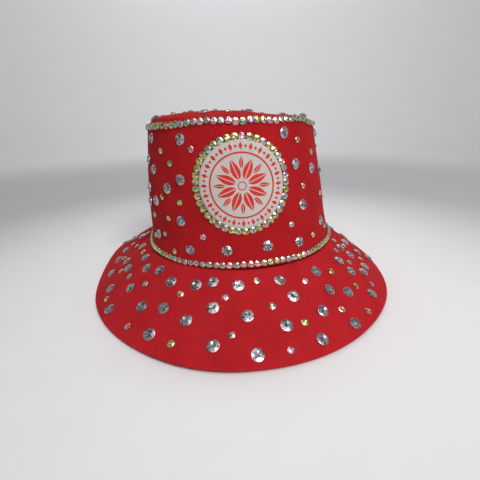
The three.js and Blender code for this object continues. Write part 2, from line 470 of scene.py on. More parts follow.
def rgb(red, green, blue):
    """A colour given by its everyday 0 to 255 values, as linear light."""
    def linear(value):
        share = value / 255
        return share / 12.92 if share <= 0.04045 else ((share + 0.055) / 1.055) ** 2.4
    return (linear(red), linear(green), linear(blue), 1.0)


def cloth_material(name, colour, shade, thread, pitch=0.5, sheen=0.05, holes=False, ribs=0.0):
    """Woven cloth. colour and shade are mixed unevenly; thread is the paler tint of its raised threads.

    pitch is the distance between threads in millimetres. holes adds the needle holes of the brim's stitch
    rows, dented and darkened with painted shade, and ribs a herringbone of that width in millimetres.
    """
    recipe = Recipe(name)
    place = recipe.add("ShaderNodeUVMap", uv_map="cloth")
    split = recipe.tree.nodes.new("ShaderNodeSeparateXYZ")
    recipe.fill(split, {0: place})
    across, up = split.outputs[0], split.outputs[1]

    warp = recipe.math("SINE", recipe.times(across, 2 * math.pi / pitch))
    weft = recipe.math("SINE", recipe.times(up, 2 * math.pi / pitch))
    weave = recipe.math("MULTIPLY_ADD", recipe.times(warp, weft), 0.5, 0.5)
    fuzz = recipe.noise(place, 2.4, 4.0, 0.7)
    cloudy = recipe.noise(place, 0.035, 3.0, 0.55)
    mottle = recipe.noise(place, 0.3, 5.0, 0.7)
    slub_stretch = recipe.add("ShaderNodeMapping", {"Vector": place, "Scale": (0.12, 1.6, 1.0)})
    slub = recipe.noise(slub_stretch, 1.0, 2.0, 0.6)
    lint = recipe.noise(place, 1.3, 1.0, 0.4)

    base = recipe.blend(recipe.ramp(cloudy, 0.3, 0.7), shade, colour)
    base = recipe.patches(mottle, 0.3, 0.7, 0.5, base, shade)
    base = recipe.patches(fuzz, 0.35, 0.75, 0.3, base, thread)
    base = recipe.patches(slub, 0.55, 0.8, 0.12, base, thread)
    base = recipe.patches(lint, 0.735, 0.775, 0.35, base, rgb(226, 150, 150), clamp=True)

    height = recipe.math("MULTIPLY_ADD", weave, 0.7, recipe.times(fuzz, 0.5))
    if ribs:
        slant = recipe.math("PINGPONG", up, 4.0)
        chevron = recipe.times(recipe.math("ADD", across, slant), 2 * math.pi / ribs)
        height = recipe.math("ADD", height, recipe.times(recipe.math("SINE", chevron), 0.8))
    if holes:
        row_step = BRIM_ROW_GAP / MM
        row = recipe.math("ADD", up, (BRIM_LENGTH - BRIM_FIRST_ROW) / MM)
        row = recipe.math("PINGPONG", row, row_step / 2)
        stitch = recipe.math("PINGPONG", across, STITCH_PITCH / MM / 2)
        distance = recipe.math("SQRT", recipe.math(
            "ADD", recipe.math("POWER", row, 2.0), recipe.math("POWER", stitch, 2.0)))
        hole = recipe.math("SUBTRACT", 1.0, recipe.ramp(distance, 0.25, 0.75), clamp=True)
        # Painted shade in the needle holes: they are darkened here as well as dented below.
        base = recipe.blend(recipe.times(hole, 0.12), base, rgb(70, 6, 10))
        height = recipe.math("SUBTRACT", height, recipe.times(hole, 2.0))
    normal = recipe.bump(cloudy, 0.6 * MM, strength=0.35)
    normal = recipe.bump(height, 0.09 * MM, normal)
    roughness = recipe.math("MULTIPLY_ADD", fuzz, 0.2, 0.74)
    recipe.fill(recipe.shader, {
        "Base Color": base,
        "Roughness": roughness,
        "Normal": normal,
        "Sheen Weight": sheen,
        "Sheen Roughness": 0.45,
        "Sheen Tint": thread,
        "Specular IOR Level": 0.12,
    })
    return recipe.material


RED_THREAD = rgb(206, 44, 50)

red_cloth = cloth_material("red_cloth", rgb(190, 28, 34), rgb(168, 20, 26), RED_THREAD)
# The brim's cloth is the crown's cloth painted lighter and pinker: painted light on the brim, which faces the
# lamps.
red_brim_cloth_painted_lighter = cloth_material(
    "red_brim_cloth_painted_lighter", rgb(202, 35, 43), rgb(177, 27, 34), RED_THREAD, holes=True)
white_interlining = cloth_material(
    "white_interlining", rgb(225, 222, 214), rgb(212, 208, 198), rgb(240, 238, 232), pitch=0.9, sheen=0.1)
red_lining = cloth_material("red_lining", rgb(150, 22, 30), rgb(136, 18, 25), rgb(182, 48, 54), pitch=0.35)
black_tape = cloth_material(
    "black_tape", rgb(44, 38, 40), rgb(32, 28, 30), rgb(78, 72, 74), pitch=0.6, sheen=0.15, ribs=1.4)
patch_cloth = cloth_material(
    "patch_cloth", rgb(214, 209, 203), rgb(205, 200, 193), rgb(228, 224, 219), pitch=0.35)
label_cloth = cloth_material(
    "label_cloth", rgb(232, 229, 222), rgb(222, 219, 211), rgb(245, 243, 238), pitch=0.3)


def grained_material(name, low, high, grain, shade, rough, relief, sheen=0.0):
    """Two colours mixed in clouds, under a fine grain.

    grain is the scale and roughness of the grain and shade the scale of the clouds. rough is the gloss
    roughness as (least, span), and relief the height of the grain.
    """
    recipe = Recipe(name)
    place = recipe.object_place()
    fibre = recipe.noise(place, grain[0], 3.0, grain[1])
    clouds = recipe.noise(place, shade, 2.0, 0.5)
    recipe.fill(recipe.shader, {
        "Base Color": recipe.blend(recipe.ramp(clouds, 0.35, 0.7), low, high),
        "Roughness": recipe.math("MULTIPLY_ADD", fibre, rough[1], rough[0]),
        "Normal": recipe.bump(fibre, relief),
        "Sheen Weight": sheen,
        "Sheen Tint": high,
    })
    return recipe.material


def crystal_material(name, tint, coat, metal, rough, saturation):
    """Foil-backed glass. Each facet has a painted colour, standing for the reflections and shade it shows,
    and shows a mirror facet that lies below it.
    """
    recipe = Recipe(name)
    # The facet attribute holds each face's painted reflection and shade tone.
    facet = recipe.add("ShaderNodeAttribute", attribute_name="facet")
    below = recipe.add("ShaderNodeAttribute", output=1, attribute_name="below")
    place = recipe.object_place()
    haze = recipe.noise(place, 700.0, 2.0, 0.5)
    vivid = recipe.add("ShaderNodeHueSaturation", {"Color": facet, "Saturation": saturation})
    below = recipe.add(
        "ShaderNodeVectorTransform", {0: below},
        vector_type="NORMAL", convert_from="OBJECT", convert_to="WORLD")
    recipe.fill(recipe.shader, {
        "Base Color": recipe.blend(0.9, rgb(*tint), vivid, "MULTIPLY"),
        "Metallic": metal,
        "Roughness": recipe.math("MULTIPLY_ADD", haze, 0.1, rough),
        "Normal": below,
        "Coat Weight": coat,
        "Coat Roughness": 0.03,
        "Coat IOR": 1.55,
    })
    return recipe.material


printed_ink = grained_material(
    "printed_ink", rgb(222, 44, 32), rgb(208, 36, 30), (900.0, 0.6), 120.0, (0.4, 0.25), 0.03 * MM)
red_thread = grained_material(
    "red_thread", rgb(178, 26, 33), rgb(196, 34, 41), (2600.0, 0.7), 60.0, (0.45, 0.3), 0.05 * MM, sheen=0.3)
clear_crystal = crystal_material("clear_crystal", (242, 236, 245), 0.35, 0.8, 0.24, 1.0)
rainbow_crystal = crystal_material("rainbow_crystal", (255, 255, 250), 0.2, 0.85, 0.2, 1.2)


# ---- Cloth ----

RED_SHEET = (CLOTH, "red_cloth", red_cloth)
BRIM_SHEET = (CLOTH, "red_cloth", red_brim_cloth_painted_lighter)
INTERLINING_SHEET = (INNER_CLOTH, "interlining", white_interlining)
LINING_SHEET = (INNER_CLOTH, "lining", red_lining)
BAND_SHEET = (0.8 * MM, "sweatband", black_tape)
LABEL_SHEET = (0.35 * MM, "label", label_cloth)


def build_crown_cloth():
    top_rows = [SIDE_LENGTH - off * MM for off in EDGE_ROWS]
    side_climbs = spread_evenly(0, SIDE_LENGTH, 2.5 * MM, top_rows)
    cloth_piece("crown_side_front", side_surface, FRONT_ANGLES, side_climbs, SEAM_WIDTH, RED_SHEET)
    cloth_piece("crown_side_back", side_surface, BACK_ANGLES, side_climbs, SEAM_WIDTH, RED_SHEET)
    tip_climbs = spread_evenly(0, TOP_WIDTH - 3 * MM, 3 * MM, [off * MM for off in EDGE_ROWS])
    ring = spread_evenly(-90, 270, 2.5)
    cloth_piece("crown_tip", tip_surface, ring, tip_climbs + [None], TOP_WIDTH, RED_SHEET)


def build_crown_inside():
    interlining_depth = CLOTH + CLOTH_GAP
    lining_depth = interlining_depth + INNER_CLOTH + CLOTH_GAP
    # short is how far a layer's edges stay from the joint of side and tip, so that no gap shows inside.
    for layer, depth, short, sheet in (
            ("interlining", interlining_depth, 6 * MM, INTERLINING_SHEET),
            ("lining", lining_depth, 1.2 * MM, LINING_SHEET)):
        climbs = spread_evenly(short / 2, SIDE_LENGTH - depth - short, 6 * MM)
        cloth_piece(f"crown_side_{layer}", side_surface, RING_ANGLES, climbs, SEAM_WIDTH, sheet, depth)
        tip_climbs = spread_evenly(depth + short / 2, TOP_WIDTH - 4 * MM, 6 * MM) + [None]
        cloth_piece(f"crown_tip_{layer}", tip_surface, RING_ANGLES, tip_climbs, TOP_WIDTH, sheet, depth)


def build_brim_cloth():
    near_rows = [row + off * MM for row in BRIM_STITCH_CLIMBS for off in (-1.3, -0.6, 0, 0.6, 1.3)]
    roll = BRIM_HALF * math.pi / 2
    around_edge = [-BRIM_LENGTH - roll * share / 4 for share in range(4)]
    climbs = spread_evenly(-BRIM_LENGTH - roll, -0.2 * MM, 2.4 * MM, near_rows + around_edge)
    for end, angles in (("front", BRIM_FRONT_ANGLES), ("back", BRIM_BACK_ANGLES)):
        cloth_piece(f"brim_top_{end}", brim_top_surface, angles, climbs, EDGE_WIDTH, BRIM_SHEET)
        cloth_piece(
            f"brim_underside_{end}", brim_under_surface, angles, climbs, EDGE_WIDTH, BRIM_SHEET, flip=True)
    inner = spread_evenly(-BRIM_LENGTH, -3.5 * MM, 3 * MM)
    cloth_piece(
        "brim_interlining", brim_middle, BRIM_RING_ANGLES, inner, EDGE_WIDTH, INTERLINING_SHEET,
        depth=-INNER_CLOTH / 2)


build_crown_cloth()
build_crown_inside()
build_brim_cloth()


# ---- Inside the head opening ----

band_low, band_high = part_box("sweatband")
label_low, label_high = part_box("size_label")
BAND_HEIGHT = band_high.z - band_low.z
BAND_DEPTH = side_high.x - band_high.x
BAND_ROLL = 1.2 * MM
LABEL_DEPTH = 1.3 * MM


def band_surface(angle, climb):
    """The crown's side with a slight roll at the band's two edges."""
    edge = bump(climb, 0, BAND_ROLL) + bump(climb, BAND_HEIGHT, BAND_ROLL)
    point, _, _, normal = frame_at(side_surface, angle, climb)
    return point - normal * (BAND_DEPTH + 0.25 * MM * (1 - edge))


def build_band_and_label():
    climbs = spread_evenly(0.3 * MM, BAND_HEIGHT, 2.5 * MM, [BAND_ROLL, BAND_HEIGHT - BAND_ROLL])
    cloth_piece("sweatband", band_surface, RING_ANGLES, climbs, SEAM_WIDTH, BAND_SHEET, suffix="tape")

    half_width = (label_high.x - label_low.x) / 2
    half_span = math.degrees(half_width / SEAM_WIDTH)
    low = label_low.z - SEAM_HEIGHT
    angles = spread_evenly(180 - half_span, 180 + half_span, 1)
    rows = spread_evenly(low, low + label_high.z - label_low.z, 1.5 * MM)
    cloth_piece(
        "size_label", band_surface, angles, rows, SEAM_WIDTH, LABEL_SHEET, LABEL_DEPTH, suffix="blank")


build_band_and_label()


# ---- Sewing thread ----

THREAD = 0.17 * MM
THREAD_SIDES = 6
STITCH_SECTIONS = 5
STITCH_GAP = 0.16


def add_stitch(points, faces, place_at, start, end):
    """One stitch: a thread that comes up through the cloth, lies on it and goes down again."""
    first = len(points)
    for section in range(STITCH_SECTIONS):
        share = section / (STITCH_SECTIONS - 1)
        centre, normal, along = place_at(mix(start, end, share))
        lift = THREAD * (2.2 * math.sin(math.pi * share) ** 0.6 - 1.2)
        side = normal.cross(along)
        for corner in range(THREAD_SIDES):
            turn = 2 * math.pi * corner / THREAD_SIDES
            points.append(centre + normal * (lift + THREAD * math.cos(turn)) + side * THREAD * math.sin(turn))
    for section in range(STITCH_SECTIONS - 1):
        low = first + section * THREAD_SIDES
        faces += faces_between(low, low + THREAD_SIDES, THREAD_SIDES)
    last = first + (STITCH_SECTIONS - 1) * THREAD_SIDES
    faces.append(tuple(first + corner for corner in reversed(range(THREAD_SIDES))))
    faces.append(tuple(last + corner for corner in range(THREAD_SIDES)))


def stitch_line(surface, start, end, out=0.0, facing=1):
    """A function from the share of a row to its centre, normal and direction.

    start and end are (angle, climb), with one of the two the same. The row lies out from the surface, on
    its outer side, or on its inner side where facing is -1.
    """
    def place_at(share):
        angle, climb = mix(start[0], end[0], share), mix(start[1], end[1], share)
        point, across, up, normal = frame_at(surface, angle, climb)
        return point + normal * out, normal * facing, across if start[1] == end[1] else up
    return place_at


def row_round(surface, climb, out=0.0, facing=1):
    return stitch_line(surface, (-90, climb), (270, climb), out, facing)


def ring_length(half_width, half_depth):
    return math.pi * (half_width + half_depth)


def stitching(name, rows):
    """One piece of thread work from rows given as (place function, length)."""
    points, faces = [], []
    for place_at, length in rows:
        count = round(length / STITCH_PITCH)
        for index in range(count):
            start, end = index + STITCH_GAP / 2, index + 1 - STITCH_GAP / 2
            add_stitch(points, faces, place_at, start / count, end / count)
    piece_from(name, points, faces, red_thread)


SEAM_STITCH_OFF = 2.2 * MM
SEAM_STITCH_END = 6 * MM
TIP_STITCH_IN = 3.2 * MM
BAND_STITCH_IN = 2 * MM
BAND_STITCH_DEPTH = 0.85 * MM


def build_stitching():
    for face, surface, facing in (("top", brim_top_surface, 1), ("underside", brim_under_surface, -1)):
        rows = []
        for climb in BRIM_STITCH_CLIMBS:
            share = -climb / BRIM_LENGTH
            half_width, half_depth = mix(SEAM_WIDTH, EDGE_WIDTH, share), mix(SEAM_DEPTH, EDGE_DEPTH, share)
            rows.append((row_round(surface, climb, facing=facing), ring_length(half_width, half_depth)))
        stitching(f"brim_{face}_stitching", rows)

    rows = []
    for seam in (-90, 90):
        for off in (-SEAM_STITCH_OFF, SEAM_STITCH_OFF):
            angle = seam + math.degrees(off / SEAM_WIDTH)
            low, high = (angle, SEAM_STITCH_END), (angle, SIDE_LENGTH - SEAM_STITCH_END)
            row = stitch_line(side_surface, low, high)
            rows.append((row, SIDE_LENGTH))
    stitching("crown_seam_stitching", rows)

    rows = [(row_round(tip_surface, TIP_STITCH_IN), ring_length(TOP_WIDTH, TOP_DEPTH))]
    stitching("crown_tip_stitching", rows)

    rows = []
    for climb in (BAND_STITCH_IN, BAND_HEIGHT - BAND_STITCH_IN):
        row = row_round(band_surface, climb, out=-BAND_STITCH_DEPTH, facing=-1)
        rows.append((row, ring_length(SEAM_WIDTH, SEAM_DEPTH)))
    stitching("sweatband_stitching", rows)


build_stitching()


# ---- Emblem ----

disc_low, disc_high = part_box("emblem_disc")
CLIMB_PER_HEIGHT = SIDE_LENGTH / (TOP_HEIGHT - SEAM_HEIGHT)
EMBLEM_RADIUS = (disc_high.z - disc_low.z) / 2 * CLIMB_PER_HEIGHT
EMBLEM_UP = ((disc_high.z + disc_low.z) / 2 - SEAM_HEIGHT) * CLIMB_PER_HEIGHT
EMBLEM_ANGLE = 4.4
EMBLEM_TURN = 0.03 / MM    # degrees round the hat for each metre up, so that the emblem stands upright
PATCH_THICKNESS = 0.7 * MM
PATCH_OUT = PATCH_THICKNESS + 0.1 * MM
PATCH_RINGS = 22
PATCH_SPOKES = 96
INK_OUT = PATCH_OUT + 0.09 * MM
INK_THICKNESS = 0.08 * MM


def emblem_place(x, y):
    """The angle and climb on the crown of a point of the flat emblem."""
    climb = EMBLEM_UP + y
    half_width = mix(SEAM_WIDTH, TOP_WIDTH, climb / SIDE_LENGTH)
    return EMBLEM_ANGLE + EMBLEM_TURN * y + math.degrees(x / half_width), climb


def emblem_frame(x, y):
    return frame_at(side_surface, *emblem_place(x, y))


def emblem_point(x, y, out):
    point, _, _, normal = emblem_frame(x, y)
    return point + normal * out


def polar(radius, turn):
    return radius * math.cos(turn), radius * math.sin(turn)


def build_patch():
    """The white disc, a round grid bent on to the crown, with a soft turned rim."""
    points, places, faces = [], [], []
    for ring in range(1, PATCH_RINGS + 1):
        radius = EMBLEM_RADIUS * (ring / PATCH_RINGS) ** 0.9
        rim = 0.35 * MM * bump(radius, EMBLEM_RADIUS, 0.6 * MM)
        for spoke in range(PATCH_SPOKES):
            x, y = polar(radius, 2 * math.pi * spoke / PATCH_SPOKES)
            points.append(emblem_point(x, y, PATCH_OUT - rim))
            places.append((x / MM, y / MM))
    centre = len(points)
    points.append(emblem_point(0, 0, PATCH_OUT))
    places.append((0.0, 0.0))
    faces += [(centre, spoke, (spoke + 1) % PATCH_SPOKES) for spoke in range(PATCH_SPOKES)]
    for ring in range(PATCH_RINGS - 1):
        faces += faces_between((ring + 1) * PATCH_SPOKES, ring * PATCH_SPOKES, PATCH_SPOKES)
    patch = piece_from("emblem_patch", points, faces, patch_cloth)
    set_uvs(patch, places)
    solidify(patch, PATCH_THICKNESS)
    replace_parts(patch, "emblem_disc")


def add_ink_strip(points, faces, edges):
    """A strip of ink between two lines, given as pairs of flat points."""
    first = len(points)
    for left, right in edges:
        points.append(emblem_point(*left, INK_OUT))
        points.append(emblem_point(*right, INK_OUT))
    for index in range(len(edges) - 1):
        low = first + 2 * index
        faces.append((low, low + 1, low + 3, low + 2))


def ink_ring(points, faces, radius, width, steps=120):
    edges = []
    for step in range(steps + 1):
        turn = 2 * math.pi * step / steps
        edges.append((polar(radius + width / 2, turn), polar(radius - width / 2, turn)))
    add_ink_strip(points, faces, edges)


def ink_directions(turn):
    """The flat directions across and along a mark that points outwards at a turn."""
    return Vector((-math.sin(turn), math.cos(turn))), Vector((math.cos(turn), math.sin(turn)))


def ink_petal(points, faces, turn, inner, outer, half_width, vein, steps=10):
    """A leaf-shaped petal in two halves, with a bare vein between them."""
    across, forward = ink_directions(turn)
    for side in (1, -1):
        edges = []
        for step in range(steps + 1):
            share = step / steps
            wide = vein + (half_width - vein) * math.sin(math.pi * share ** 0.8)
            centre = forward * mix(inner, outer, share)
            pair = (tuple(centre + across * side * wide), tuple(centre + across * side * vein))
            edges.append(pair if side > 0 else pair[::-1])
        add_ink_strip(points, faces, edges)


def ink_lozenge(points, faces, turn, radius, length, half_width):
    across, forward = ink_directions(turn)
    edges = []
    for share in (0.0, 0.25, 0.5, 0.75, 1.0):
        wide = half_width * (1 - abs(2 * share - 1)) + 0.02 * MM
        centre = forward * (radius + (share - 0.5) * length)
        edges.append((tuple(centre + across * wide), tuple(centre - across * wide)))
    add_ink_strip(points, faces, edges)


PETALS = 8
LOZENGES = 24
LOZENGE_RING = 28.6 * MM


def build_print():
    """A plain rosette in a ring, with a border of lozenges: a design of no one's."""
    points, faces = [], []
    ink_ring(points, faces, 24.0 * MM, 1.2 * MM)
    ink_ring(points, faces, 3.0 * MM, 0.7 * MM, steps=40)
    for petal in range(PETALS):
        step = math.pi / PETALS
        turn = step + petal * 2 * step
        ink_petal(points, faces, turn, 5.0 * MM, 20.5 * MM, 3.3 * MM, 0.35 * MM)
        ink_petal(points, faces, turn + step, 12.5 * MM, 21.5 * MM, 1.6 * MM, 0.2 * MM, steps=6)
    for place in range(LOZENGES):
        step = math.pi / LOZENGES
        ink_lozenge(points, faces, place * 2 * step, LOZENGE_RING, 5.4 * MM, 1.5 * MM)
        ink_lozenge(points, faces, (place * 2 + 1) * step, LOZENGE_RING, 2.6 * MM, 1.1 * MM)
    ink = piece_from("emblem_print", points, faces, printed_ink, smooth=False)
    solidify(ink, INK_THICKNESS)


build_patch()
build_print()


# ---- Stones ----

def stone_cut(sides, girdle, middle, table):
    """A round flat-back cut of unit radius and height, as (points, faces, kinds of face).

    girdle is the height of its upright rim. middle is the radius and height of the ring where the lower
    facets meet the upper ones, and table the radius of the flat top.
    """
    points = []
    for height in (0.0, girdle):
        for corner in range(2 * sides):
            turn = math.pi * corner / sides
            points.append(Vector((math.cos(turn), math.sin(turn), height)))
    for radius, height, offset in ((middle[0], middle[1], 1), (table, 1.0, 0)):
        for corner in range(sides):
            turn = math.pi * (2 * corner + offset) / sides
            points.append(Vector((radius * math.cos(turn), radius * math.sin(turn), height)))
    points.append(Vector((0, 0, 1)))
    rim, ring, top, centre = 2 * sides, 4 * sides, 5 * sides, 6 * sides
    faces = [tuple(reversed(range(2 * sides)))]
    kinds = [("back", 0)]
    for corner in range(2 * sides):
        after = (corner + 1) % (2 * sides)
        faces.append((corner, after, rim + after, rim + corner))
        kinds.append(("girdle", corner))
    for corner in range(sides):
        after = (corner + 1) % sides
        left, mid, right = rim + 2 * corner, rim + 2 * corner + 1, rim + (2 * corner + 2) % (2 * sides)
        here, there = ring + corner, ring + after
        faces += [(left, mid, here), (mid, right, here), (right, there, here)]
        kinds += [("lower", corner)] * 2 + [("upper", corner)]
        faces += [(here, top + after, top + corner), (here, there, top + after)]
        kinds += [("star", corner), ("upper", corner)]
        faces.append((top + corner, top + after, centre))
        kinds.append(("table", corner))
    return points, faces, kinds


LARGE_CUT = stone_cut(10, 0.2, (0.82, 0.62), 0.56)
SMALL_CUT = stone_cut(8, 0.24, (0.78, 0.7), 0.42)


# Each stone is a little different: its tilt, the share of its lower facets that are painted pale as a glint,
# how far its table facets lean, and how far every facet's mirror strays.
STONE_TILT = 0.05
PAINTED_GLINT_SHARE = 0.7
TABLE_LEAN = (0.15, 0.4)
MIRROR_STRAY = 0.1
FLATNESS = 1.3
GIRDLE_COLOUR = (0.3, 0.3, 0.32, 1.0)


class StoneSet:
    """Many cut stones in one mesh, with a colour and a mirror direction for each face; the colour is painted
    reflection and shade, partly the rainbow coating's own colour.

    flatness draws the mirrors towards the back of the stone.
    """

    def __init__(self, seed, flatness=FLATNESS):
        self.points, self.faces, self.colours, self.below = [], [], [], []
        self.random = random.Random(seed)
        self.flatness = flatness

    def add(self, place, cut, radius, height, palette):
        """place is (point, across, up, normal). palette is a list of facet colours to draw from."""
        draw = self.random
        point, across, up, normal = place
        normal = (normal + across * draw.gauss(0, STONE_TILT) + up * draw.gauss(0, STONE_TILT)).normalized()
        spin = draw.uniform(0, 2 * math.pi)
        right = across * math.cos(spin) + up * math.sin(spin)
        ahead = normal.cross(right).normalized()
        right = ahead.cross(normal)
        first = len(self.points)
        cut_points, cut_faces, kinds = cut
        corners = [right * c.x * radius + ahead * c.y * radius + normal * c.z * height for c in cut_points]
        self.points += [point + corner for corner in corners]
        tones = {}
        sides = max(sector for kind, sector in kinds if kind == "table") + 1
        for face, (kind, sector) in zip(cut_faces, kinds):
            self.faces.append(tuple(first + index for index in face))
            one, two, three = (corners[index] for index in face[:3])
            facing = (two - one).cross(three - one).normalized()
            if kind in ("back", "girdle"):
                self.colours.append(GIRDLE_COLOUR)
                self.below.append(facing)
                continue
            # Each facet's colour is a painted tone; most lower facets take the palest, as a painted glint.
            if (kind, sector) not in tones:
                pale = kind == "lower" and draw.random() < PAINTED_GLINT_SHARE
                tones[kind, sector] = max(palette) if pale else draw.choice(palette)
            self.colours.append(tones[kind, sector])
            if kind == "table":
                turn = 2 * math.pi * (sector + 0.5) / sides
                side = right * math.cos(turn) + ahead * math.sin(turn)
                facing = normal - side * draw.uniform(*TABLE_LEAN)
            else:
                facing = facing + normal * self.flatness
            stray = Vector([draw.gauss(0, MIRROR_STRAY) for _ in range(3)])
            self.below.append((facing + stray).normalized())

    def build(self, name, slot, material):
        piece = piece_from(name, self.points, self.faces, material, smooth=False)
        # facet carries the painted reflection and shade tones.
        facet = piece.data.attributes.new("facet", "FLOAT_COLOR", "FACE")
        facet.data.foreach_set("color", [value for colour in self.colours for value in colour])
        below = piece.data.attributes.new("below", "FLOAT_VECTOR", "FACE")
        below.data.foreach_set("vector", [value for direction in self.below for value in direction])
        return piece


def greys(*values):
    """Greys for painted reflection and shade on facets, in turn neutral, a little warm and a little cool."""
    tints = ((1.0, 1.0, 1.02), (1.06, 1.03, 0.82), (0.92, 0.98, 1.16))
    return [
        (value * tint[0], value * tint[1], value * tint[2], 1.0)
        for value, tint in zip(values, tints * len(values))
    ]


# The clear stones' facet tones are painted reflection and shade: bright and dark facets, with a wider range
# on the crown.
CLEAR_REFLECTION_TONES = greys(0.68, 0.5, 0.6, 0.34, 0.42, 0.18, 0.09)
CLEAR_REFLECTION_TONES_ON_CROWN = greys(1.0, 0.7, 0.42, 0.3, 0.2, 0.1, 0.04)

# Colours of the rainbow coating's facets: green and gold, pink and violet, and opal. Their darkest and
# near-white entries are painted reflection and shade.
RAINBOW_AND_REFLECTION_TONES = [[rgb(*colour) for colour in colours] for colours in (
    ((222, 226, 96), (176, 208, 88), (230, 204, 84), (120, 170, 84), (240, 236, 150),
     (84, 116, 50), (66, 74, 34), (150, 210, 150), (238, 190, 150), (250, 248, 220)),
    ((250, 172, 190), (238, 144, 176), (204, 164, 236), (166, 156, 240), (255, 226, 214),
     (250, 190, 130), (132, 88, 110), (190, 226, 190), (240, 226, 130), (250, 245, 240)),
    ((160, 226, 214), (126, 200, 226), (212, 232, 160), (246, 246, 230), (244, 188, 160),
     (196, 172, 236), (90, 168, 120), (98, 94, 62), (236, 216, 120), (150, 180, 140)),
)]

LARGE_RADIUS = 4.25 * MM
LARGE_HEIGHT = 1.9 * MM
BRIM_LARGE_RADIUS = 4.5 * MM
SMALL_RADIUS = 2.4 * MM
SMALL_HEIGHT = 1.4 * MM
TRIM_RADIUS = 2.6 * MM
TRIM_HEIGHT = 2.0 * MM
GLUE = 0.12 * MM


def glued(place):
    """A place on the cloth, moved out by the glue under a stone."""
    point, across, up, normal = place
    return point + normal * GLUE, across, up, normal


def side_place(angle, up):
    return glued(frame_at(side_surface, angle, up))


def brim_place(angle, down):
    return glued(frame_at(brim_top_surface, angle, -down))


def tip_place(angle, radius):
    return glued(frame_at(tip_surface, angle, TOP_WIDTH - radius))


def place_of_node(node):
    """The place on the crown of a CAD crystal, as (degrees, millimetres)."""
    low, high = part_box(node)
    centre = (low + high) / 2
    share = (centre.z - SEAM_HEIGHT) / (TOP_HEIGHT - SEAM_HEIGHT)
    x = (centre.x - LEAN * share) / mix(SEAM_WIDTH, TOP_WIDTH, share)
    y = centre.y / mix(SEAM_DEPTH, TOP_DEPTH, share)
    return math.degrees(math.atan2(x, -y)), share * SIDE_LENGTH / MM


# Places as (degrees, millimetres): up the side from the seam, down the brim from the seam, and on the tip
# out from its middle.
SIDE_SMALL = [
    (-83, 68), (-56, 33), (-56, 14), (-45, 89), (-45, 52), (-44, 20), (-40, 35), (-37, 80), (-36, 8),
    (-31, 50), (-22, 91), (-18, 24), (30, 30), (42, 95), (42, 59), (46, 15), (56, 84), (63, 47), (64, 15),
    (71, 40), (82, 86), (94, 22), (101, 52), (112, 84), (120, 33), (133, 58), (138, 88), (141, 30), (151, 52),
    (158, 74), (168, 14), (172, 68), (-176, 42), (-166, 82), (-162, 48), (-150, 60), (-144, 14), (-134, 92),
    (-131, 46), (-122, 72), (-112, 30), (-106, 64), (-96, 14), (-92, 50), (-88, 92), (-84, 30),
]
BRIM_LARGE = [
    (-104, 60), (-99, 35), (-95, 20), (-89, 39), (-82, 44), (-75, 12), (-72, 49), (-71, 30), (-63, 29),
    (-60, 50), (-58, 11), (-50, 16), (-50, 58), (-49, 36), (-41, 12), (-37, 42), (-31, 17), (-28, 37),
    (-28, 56), (-19, 15), (-18, 41), (-12, 11), (-10, 30), (-8, 54), (-1, 13), (2, 35), (4, 59), (14, 44),
    (17, 12), (20, 26), (23, 58), (28, 42), (36, 14), (36, 31), (36, 59), (43, 40), (53, 54), (55, 18),
    (55, 31), (62, 41), (68, 14), (68, 25), (68, 42), (80, 37), (82, 22), (86, 58), (98, 13), (101, 36),
    (108, 55), (113, 20), (119, 42), (126, 60), (129, 14), (134, 33), (142, 50), (147, 17), (152, 37),
    (157, 59), (163, 25), (169, 46), (175, 12), (178, 34), (-177, 58), (-170, 22), (-166, 44), (-160, 14),
    (-157, 60), (-152, 34), (-146, 52), (-143, 16), (-137, 40), (-131, 60), (-129, 22), (-122, 46),
    (-117, 14), (-113, 34), (-110, 58),
]
BRIM_SMALL = [
    (-103, 52), (-91, 30), (-83, 21), (-78, 35), (-66, 37), (-66, 11), (-56, 31), (-56, 56), (-43, 27),
    (-37, 58), (-24, 24), (-20, 57), (-6, 22), (-3, 47), (7, 10), (11, 30), (13, 59), (20, 45), (28, 18),
    (35, 47), (44, 20), (44, 59), (49, 41), (58, 51), (61, 11), (60, 26), (71, 6), (73, 38), (74, 18),
    (93, 42), (104, 24), (106, 44), (117, 60), (122, 28), (131, 48), (140, 22), (148, 62), (151, 27),
    (160, 46), (168, 60), (171, 30), (-178, 46), (-172, 10), (-163, 30), (-163, 56), (-150, 22), (-146, 42),
    (-139, 58), (-136, 28), (-127, 36), (-119, 58), (-119, 28), (-107, 20), (-95, 12),
]
TIP_LARGE = [
    (-98, 67), (-62, 71), (-19, 57), (25, 38), (58, 73), (96, 50), (118, 66), (142, 56), (164, 64),
    (-172, 50), (-150, 66), (-126, 52), (-110, 42),
]
TIP_SMALL = [
    (-61, 39), (-58, 56), (0, 54), (104, 66), (130, 62), (152, 48), (176, 68), (-162, 60), (-138, 62),
    (-120, 66), (-96, 44), (-150, 30), (128, 40), (176, 34), (92, 30), (-120, 46), (-40, 20), (60, 14),
]


def rainbow_for(stones, angle):
    """Draws a palette: pinker at the front and greener at the sides, with some of each everywhere."""
    front = math.cos(math.radians(angle)) ** 6 if abs(angle) < 90 else 0
    weights = (1.0 - 0.7 * front, 0.35 + 1.3 * front, 0.55)
    return stones.random.choices(RAINBOW_AND_REFLECTION_TONES, weights)[0]


LARGE = (LARGE_CUT, LARGE_HEIGHT, "clear_crystal", clear_crystal)
SMALL = (SMALL_CUT, SMALL_HEIGHT, "rainbow_crystal", rainbow_crystal)


